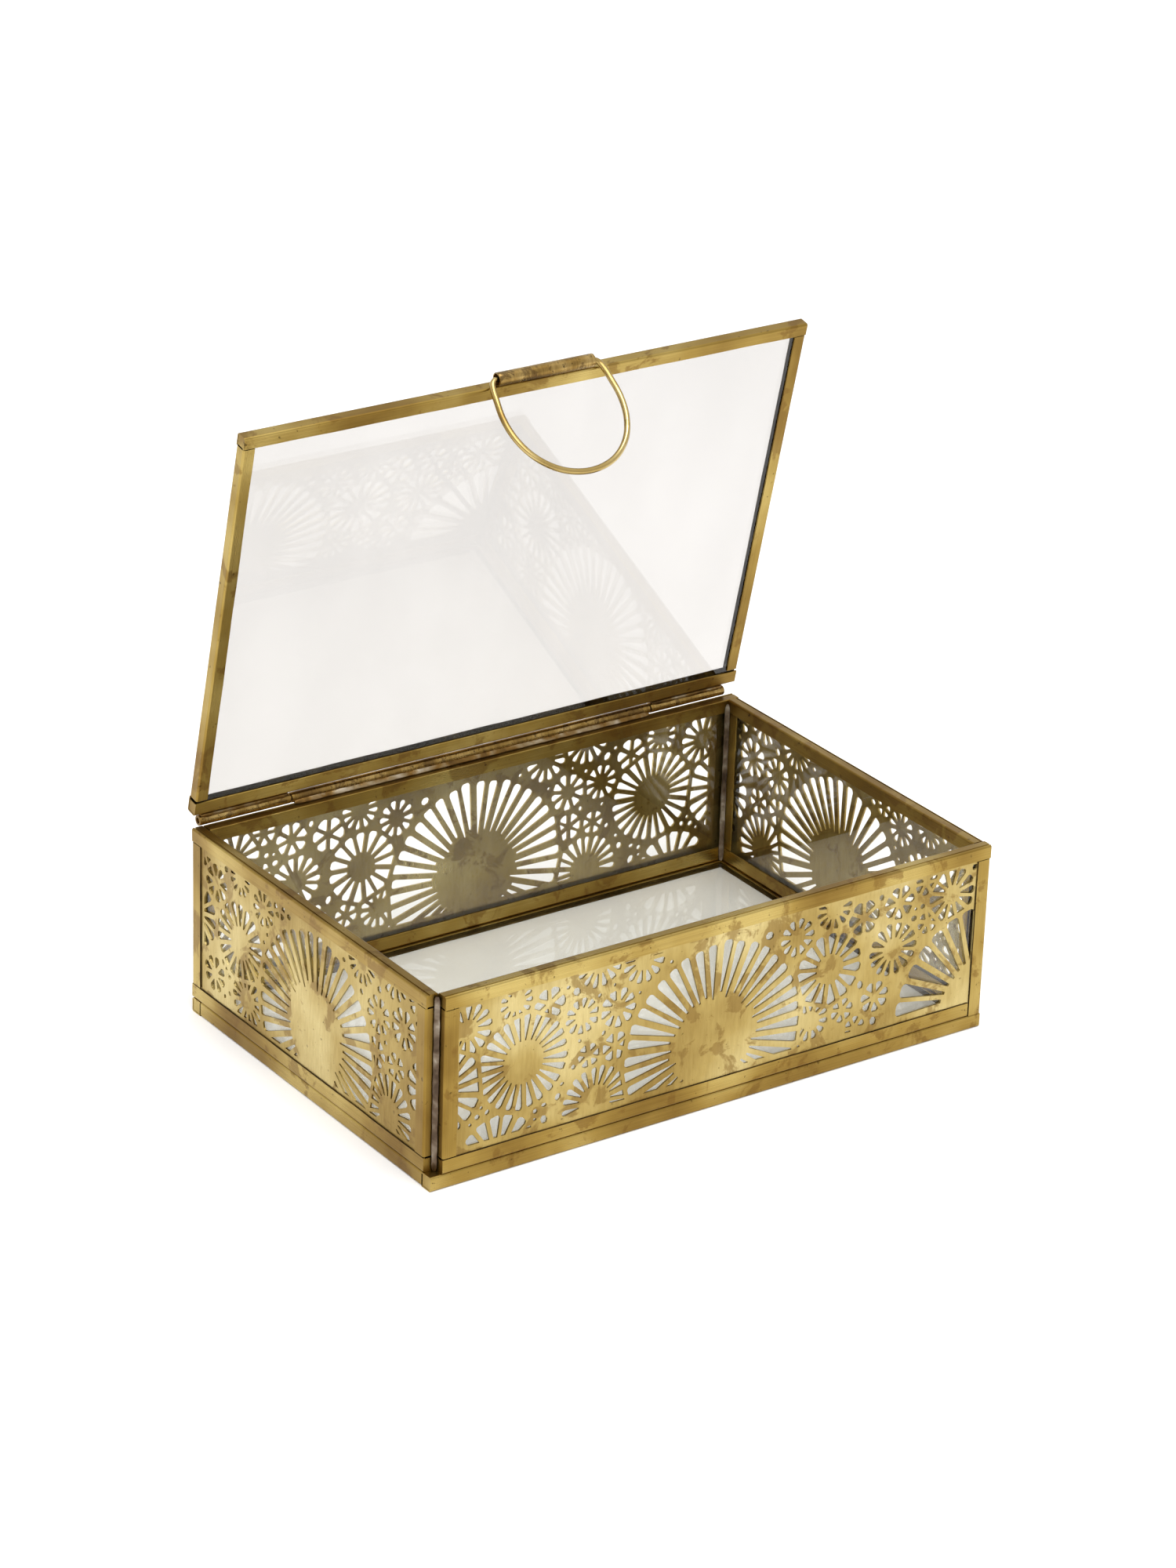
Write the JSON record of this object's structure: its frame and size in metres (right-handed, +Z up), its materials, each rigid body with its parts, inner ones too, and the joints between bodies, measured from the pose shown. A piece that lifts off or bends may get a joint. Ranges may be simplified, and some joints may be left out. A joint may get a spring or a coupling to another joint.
{
  "type": "trinket box",
  "caption": "Small hinged-lid box of glass panes edged in folded brass, with cut brass fretwork over the walls and a wire pull on the lid.",
  "frame": {"origin": "centre of the underside of the base frame, the face the box rests on", "axes": "+X along the front to the right, +Y from front to back toward the hinge, +Z up"},
  "size_m": [0.15, 0.1019, 0.1499],
  "materials": {
    "channel_brass": "aged, brushed",
    "fretwork_brass": "aged, etched sheet",
    "tube_brass": "aged, drawn tube",
    "wire_brass": "worn bright wire",
    "solder": "dull grey solder bead",
    "wall_pane": "clear",
    "lid_pane": "clear",
    "base_pane": "clear"
  },
  "bodies": {
    "box": {"back_bottom_channel": "channel_brass", "back_fretwork": "fretwork_brass", "back_glass": "wall_pane", "back_left_channel": "channel_brass", "back_right_channel": "channel_brass", "back_top_channel": "channel_brass", "base_back_channel": "channel_brass", "base_front_channel": "channel_brass", "base_glass": "base_pane", "base_left_channel": "channel_brass", "base_right_channel": "channel_brass", "corner_solder_back_left": "solder", "corner_solder_back_right": "solder", "corner_solder_front_left": "solder", "corner_solder_front_right": "solder", "front_bottom_channel": "channel_brass", "front_fretwork": "fretwork_brass", "front_glass": "wall_pane", "front_left_channel": "channel_brass", "front_right_channel": "channel_brass", "front_top_channel": "channel_brass", "hinge_knuckle_middle": "tube_brass", "hinge_pin": "wire_brass", "hinge_solder_middle": "solder", "left_bottom_channel": "channel_brass", "left_fretwork": "fretwork_brass", "left_glass": "wall_pane", "left_left_channel": "channel_brass", "left_right_channel": "channel_brass", "left_top_channel": "channel_brass", "right_bottom_channel": "channel_brass", "right_fretwork": "fretwork_brass", "right_glass": "wall_pane", "right_left_channel": "channel_brass", "right_right_channel": "channel_brass", "right_top_channel": "channel_brass"},
    "lid": {"handle_solder": "solder", "handle_tube": "tube_brass", "hinge_knuckle_left": "tube_brass", "hinge_knuckle_right": "tube_brass", "hinge_solder_left": "solder", "hinge_solder_right": "solder", "lid_back_channel": "channel_brass", "lid_front_channel": "channel_brass", "lid_glass": "lid_pane", "lid_left_channel": "channel_brass", "lid_right_channel": "channel_brass"},
    "bail": {"handle_bail": "wire_brass"}
  },
  "joints": [
    {"name": "lid_hinge", "type": "hinge", "parent": "box", "child": "lid", "pos_m": [0, 0.0503, 0.0473], "axis": [-1, 0, 0], "range_deg": [-77.5, 27.5]},
    {"name": "bail_swing", "type": "hinge", "parent": "lid", "child": "bail", "pos_m": [0.0024, 0.02777, 0.14826], "axis": [-1, 0, 0], "range_deg": [-9.5, 26.5]}
  ],
  "couplings": [
    {"joint": "bail_swing", "follows": "lid_hinge", "ratio": -0.335}
  ]
}
